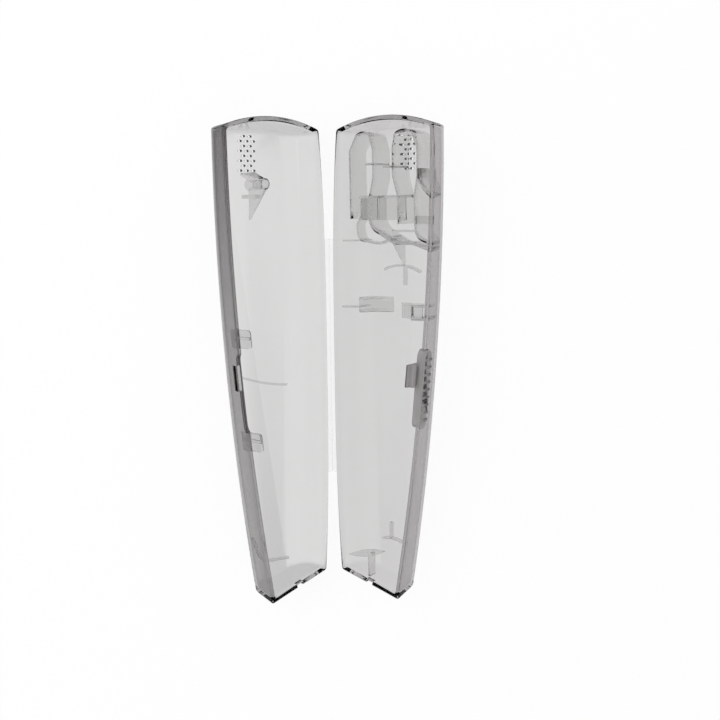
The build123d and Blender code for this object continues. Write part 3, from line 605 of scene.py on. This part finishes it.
def tray_cutters(place, vent_counts, base):
    """All the openings of one tray: the vents, the notch, the button's hole and one more.

    The rows of vents have vent_counts slots by turns, in even steps round VENT_X. The notch is
    turned by the foot's slant. The last opening is the rim peg's seat in the base, and the
    hook's window in the lid."""
    made = []
    for row in range(VENT_ROWS):
        count = vent_counts[row % 2]
        for i in range(count):
            loops, faces, caps = prism(slot_outline(VENT_LENGTH, VENT_WIDTH), -DEPTH - 1, FLAT_IN + 1)
            across = (i - (count - 1) / 2) * VENT_STEP_X
            loops = loops + (VENT_X + across, VENT_TOP_Y - VENT_STEP_Y * row, 0)
            made.append(cutter("vent", loops, faces, caps, place))
    slant = math.atan(OUTER_BOTTOM_Y / (OUTER_BOTTOM_X - HINGE_BOTTOM_X))
    c, s = math.cos(slant), math.sin(slant)
    notch = oblong(NOTCH_HALF_WIDTH, NOTCH_HALF_DEPTH) @ np.array([(c, s), (-s, c)])
    notch = notch + (NOTCH_X, bottom_side(NOTCH_X, 0.0))
    made.append(cutter("notch", *prism(notch, -NOTCH_HEIGHT, NOTCH_HEIGHT), place))

    def wall_cut(outline, low_x, high_x, y):
        """A cutter drawn on the face of the outer wall, from low_x to high_x through it."""
        loops, faces, caps = prism(outline, low_x, high_x)
        return cutter("wall_cut", on_outer_wall(np.roll(loops, 1, axis=-1), y), faces, caps, place)

    middle = -HOLE_SHIFT if base else HOLE_SHIFT
    made.append(wall_cut(slot_outline(HOLE_LENGTH, HOLE_WIDTH, 16) + (0, middle), -7, 7, LATCH_Y))
    if base:
        made.append(wall_cut(oblong(*SEAT_HALF), -1.8, -0.5, SEAT_Y))
    else:
        made.append(wall_cut(oblong(*WINDOW_HALF) + WINDOW_SHIFT, -3.3, 1.0, LATCH_Y))
    return made


print("vents in the base", sum((3, 2)[row % 2] for row in range(VENT_ROWS)))


# %% [markdown]
# Seen through the open side, the outer wall and the two ends look darker than the floor of the
# tray, because there one looks along the plastic and not across it. That darkening is painted
# shade: the mesh keeps a number at every point that says how near it is to those walls, and the
# plastic's colour turns to a fixed painted shade where it is high.

# %% Painted shade near the walls
def tray_coordinates(mesh, side):
    """X, y and z in the tray frame of every point of a mesh, which is place_base turned back.

    side is 1 for the base and -1 for the lid."""
    points = np.empty(len(mesh.vertices) * 3)
    mesh.vertices.foreach_get("co", points)
    points = points.reshape(-1, 3) / MM * (side, 1, 1) - (0, 0, HINGE_HEIGHT)
    c, s = math.cos(TURN), math.sin(TURN)
    x = points[:, 0] * c + points[:, 2] * s
    z = points[:, 2] * c - points[:, 0] * s
    return x, points[:, 1] + MIDDLE_Y, z


def paint_shade_near_sides(piece, side, foot_share, top_end, foot_end):
    """Painted shade: up to one at the outer wall, a part at the ends, and zero on the floor, with soft
    edges.

    Along the outer wall the value is foot_share + (1 - foot_share) * along^2, so one at the
    top. The two ends have top_end and foot_end."""
    x, y, z = tray_coordinates(piece.data, side)

    def soft(distance, start, width):
        """One below start, zero beyond start + width, and t^2 * (3 - 2t) between."""
        t = np.clip((start + width - distance) / width, 0, 1)
        return t * t * (3 - 2 * t)

    share = foot_share + (1 - foot_share) * along_wall(y) ** 2
    outer = soft(outer_side(y, z) - x, 2.0, 3.5) * share
    top, foot = soft(top_side(x, z) - y, 1.7, 1.0), soft(y - bottom_side(x, z), 1.7, 1.0)
    values = np.clip(np.maximum(outer, np.maximum(top_end * top, foot_end * foot)), 0, 1)
    piece.data.attributes.new("painted_shade", "FLOAT", "POINT").data.foreach_set("value", values)
    return float(values.mean())


# %% [markdown]
# Now the trays themselves: the rings are joined to one closed shell, its openings are cut, and
# it takes the place of the solid's plain shell. The lid's rows of vents start with the short
# one. In the photograph the lid's outer wall is the darker one, most of all at the top, so its
# painted shade is darker.

# %% Build the two trays
def tray(name, node_name, place, vent_counts, base):
    """Stack the rings to one closed shell, cut its openings and let it replace the solid's shell."""
    columns = rings.shape[1]
    last = len(rings) - 1
    caps = [range(columns), range(last * columns, (last + 1) * columns)]
    shell = new_piece(name, place(rings), grid_faces(len(rings), columns),
                      base_plastic if base else lid_plastic, caps)
    shell = cut(shell, tray_cutters(place, vent_counts, base))
    shell.data.set_sharp_from_angle(angle=math.radians(38))
    # Painted shade near the outer wall and the ends; on the lid it is weaker towards the foot.
    if base:
        painted_shade = paint_shade_near_sides(shell, 1, 1.0, 0.35, 0.36)
    else:
        painted_shade = paint_shade_near_sides(shell, -1, 0.47, 0.22, 0.3)
    print("mean nearness", round(painted_shade, 3), "materials", len(shell.data.materials))
    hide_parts(node_name)
    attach(shell, "base" if base else "lid")
    print(name, len(shell.data.polygons), "faces")


tray("base_tray", "base_shell", place_base, (3, 2), True)
tray("lid_tray", "lid_shell", place_lid, (2, 3), False)

# %% [markdown]
# ## Hinge strip
#
# A living hinge is one strip of the same plastic, thick enough at the rims to hold and thinned
# to about a third of a millimetre where it bends. Each half is a small profile carried along
# the hinge: full at the rim and tapered to the fold.

# %% Two leaves
STRIP_LOW, STRIP_HIGH = 45.5, 155.5
FOLD_THICKNESS, RIM_THICKNESS = 0.30, 0.60


def leaf_surface(fold_gap):
    """Closed profile carried along y, from the fold to the rim.

    The thickness grows with way^2, and the middle sinks from 0.20 below the parting plane by
    0.30 * sin(way * 90 degrees), so the two leaves never meet when the case is shut."""
    y = np.linspace(STRIP_LOW, STRIP_HIGH, 90)[:, None]
    way = np.linspace(0, 1, 16)[None, :]
    x = fold_gap + (hinge_side(y, 0.0) + 0.05 - fold_gap) * way
    thick = FOLD_THICKNESS + (RIM_THICKNESS - FOLD_THICKNESS) * way**2
    middle = -0.20 - 0.30 * np.sin(way * math.pi / 2)
    front = np.stack([x, y + 0 * x, middle + thick / 2 + 0 * x], -1)
    back = np.stack([x, y + 0 * x, middle - thick / 2 + 0 * x], -1)
    return np.concatenate([front, back[:, ::-1]], 1)


def leaf(name, fold_gap, place, body, *nodes):
    """One half of the strip in its place, riding with a body and replacing the solid's nodes."""
    surface = leaf_surface(fold_gap)
    rows, columns = surface.shape[:2]
    caps = [range(columns), range((rows - 1) * columns, rows * columns)]
    made = new_piece(name, place(surface), grid_faces(rows, columns), hinge_plastic, caps)
    made.data.set_sharp_from_angle(angle=math.radians(60))
    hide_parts(*nodes)
    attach(made, body)
    print(name, len(made.data.polygons), "faces")


leaf("hinge_leaf_base", 0.0, place_base, "base", "hinge_strip_base_leaf", "hinge_fold")
leaf("hinge_leaf_lid", 0.12, place_lid, "lid", "hinge_strip_lid_leaf")

# %% [markdown]
# ## Presser
#
# A hollow post on the lid reaches down between the brush heads when the case is shut. It is
# turned like a vase: one profile with a rounded lip and a small foot fillet, swept round.

# %% The post
def turned(profile, centre, steps):
    """Every point of the (radius, z) profile carried round the centre in equal steps."""
    a = np.linspace(0, 2 * math.pi, steps, endpoint=False)[None, :]
    r, z = profile[:, :1], profile[:, 1:]
    return np.stack([centre[0] + r * np.cos(a), centre[1] + r * np.sin(a), z + 0 * a], -1)


POST_PLACE, POST_OUTSIDE, POST_INSIDE = (33.6, 181.4), 2.6, 1.7
POST_TOP, POST_BOTTOM = -4.0, -16.38
STEPS = 48

lip_radius = (POST_OUTSIDE - POST_INSIDE) / 2
bend = np.linspace(0, math.pi, 9)
lip = np.column_stack([
    (POST_OUTSIDE + POST_INSIDE) / 2 + lip_radius * np.cos(bend),
    POST_TOP - lip_radius + lip_radius * np.sin(bend),
])
foot = [(2.95, POST_BOTTOM), (2.72, -16.2), (POST_OUTSIDE, -15.9)]
outside, inside = [(POST_OUTSIDE, -8.0)], [(POST_INSIDE, -8.0), (POST_INSIDE, POST_BOTTOM)]
post_surface = turned(np.concatenate([foot, outside, lip, inside]), POST_PLACE, STEPS)
post_faces = grid_faces(len(post_surface), STEPS, closed_rows=True)
post = new_piece("presser_tube", place_lid(post_surface), post_faces, rib_plastic)
post.data.set_sharp_from_angle(angle=math.radians(50))
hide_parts("presser_post")
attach(post, "lid")
print("post", len(post.data.polygons), "faces")

# %% [markdown]
# ## Ribs, holders, tabs and button
#
# The standing ribs of a moulding never have knife edges: the cutter that made the mould leaves
# a small radius. Each solid piece is copied, its loose triangles are joined, its flats are made
# whole, and a narrow bevel rounds the edges so that they catch the light as thin lines. The
# button is milkier than the trays, and its ridge tops and hook carry a painted shade.

# %% Easing the edges of the solid pieces
RIB_EDGE, BUTTON_EDGE = 0.06, 0.1
RIDGE_LEVEL, HOOK_LEVEL = 1.7, -5.0     # out of the outer wall's face
# How strong the painted shade on the button's ridges and hook is.
RIDGE_SHADE_SHARE = 0.85


def eased(node_name, body, width, finish):
    """Copy a solid, merge it, join coplanar triangles, bevel by width in millimetres.

    On the button and the hook the painted shade attribute takes the ridge shade share above
    RIDGE_LEVEL and below HOOK_LEVEL, both measured as x less the outer wall's x, and zero between."""
    solid = frame["nodes"][node_name]
    mesh = solid.data.copy()
    tidy = bmesh.new()
    tidy.from_mesh(mesh)
    bmesh.ops.remove_doubles(tidy, verts=tidy.verts, dist=2e-6)
    bmesh.ops.dissolve_limit(tidy, angle_limit=math.radians(1.5), verts=tidy.verts, edges=tidy.edges)
    tidy.to_mesh(mesh)
    tidy.free()
    mesh.materials.clear()
    mesh.materials.append(finish)
    piece = bpy.data.objects.new(node_name + "_eased", mesh)
    bpy.context.scene.collection.objects.link(piece)
    step = piece.modifiers.new("edge", "BEVEL")
    step.width, step.segments, step.limit_method = width * MM, 2, "ANGLE"
    step.angle_limit = math.radians(35)
    bake_modifiers(piece)
    result = piece.data
    result.shade_smooth()
    result.set_sharp_from_angle(angle=math.radians(32))
    if finish is latch_plastic:
        x, y, z = tray_coordinates(result, 1)
        proud = x - outer_side(y, z)
        # Painted shade mask: the ridge tops and the hook, where they stand out from the wall.
        thick = (proud > RIDGE_LEVEL) | (proud < HOOK_LEVEL)
        painted_ridge_shade = np.where(thick, RIDGE_SHADE_SHARE, 0.0)
        result.attributes.new("painted_shade", "FLOAT", "POINT").data.foreach_set("value", painted_ridge_shade)
        print(node_name, "from", round(proud.min(), 1), "to", round(proud.max(), 1), "mm out of the wall")
    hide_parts(node_name)
    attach(piece, body)
    return len(result.polygons)


done = {
    "base_shell", "lid_shell", "presser_post",
    "hinge_strip_base_leaf", "hinge_fold", "hinge_strip_lid_leaf",
}
bodies = frame["record"]["behaviour"]["bodies"]
body_of = {name: body for body, names in bodies.items() for name in names}
counts = {}
for name in frame["nodes"]:
    if name in done:
        continue
    if name.startswith("latch"):
        counts[name] = eased(name, body_of[name], BUTTON_EDGE, latch_plastic)
    else:
        counts[name] = eased(name, body_of[name], RIB_EDGE, rib_plastic)
print("eased pieces", len(counts), "with", sum(counts.values()), "faces")

# %% [markdown]
# ## View
#
# The picture is shown through Blender's plain Standard view transform. The dressed case
# has to fill the solid model's box and stay inside it.

# %% Standard view
bpy.context.scene.view_settings.view_transform = "Standard"
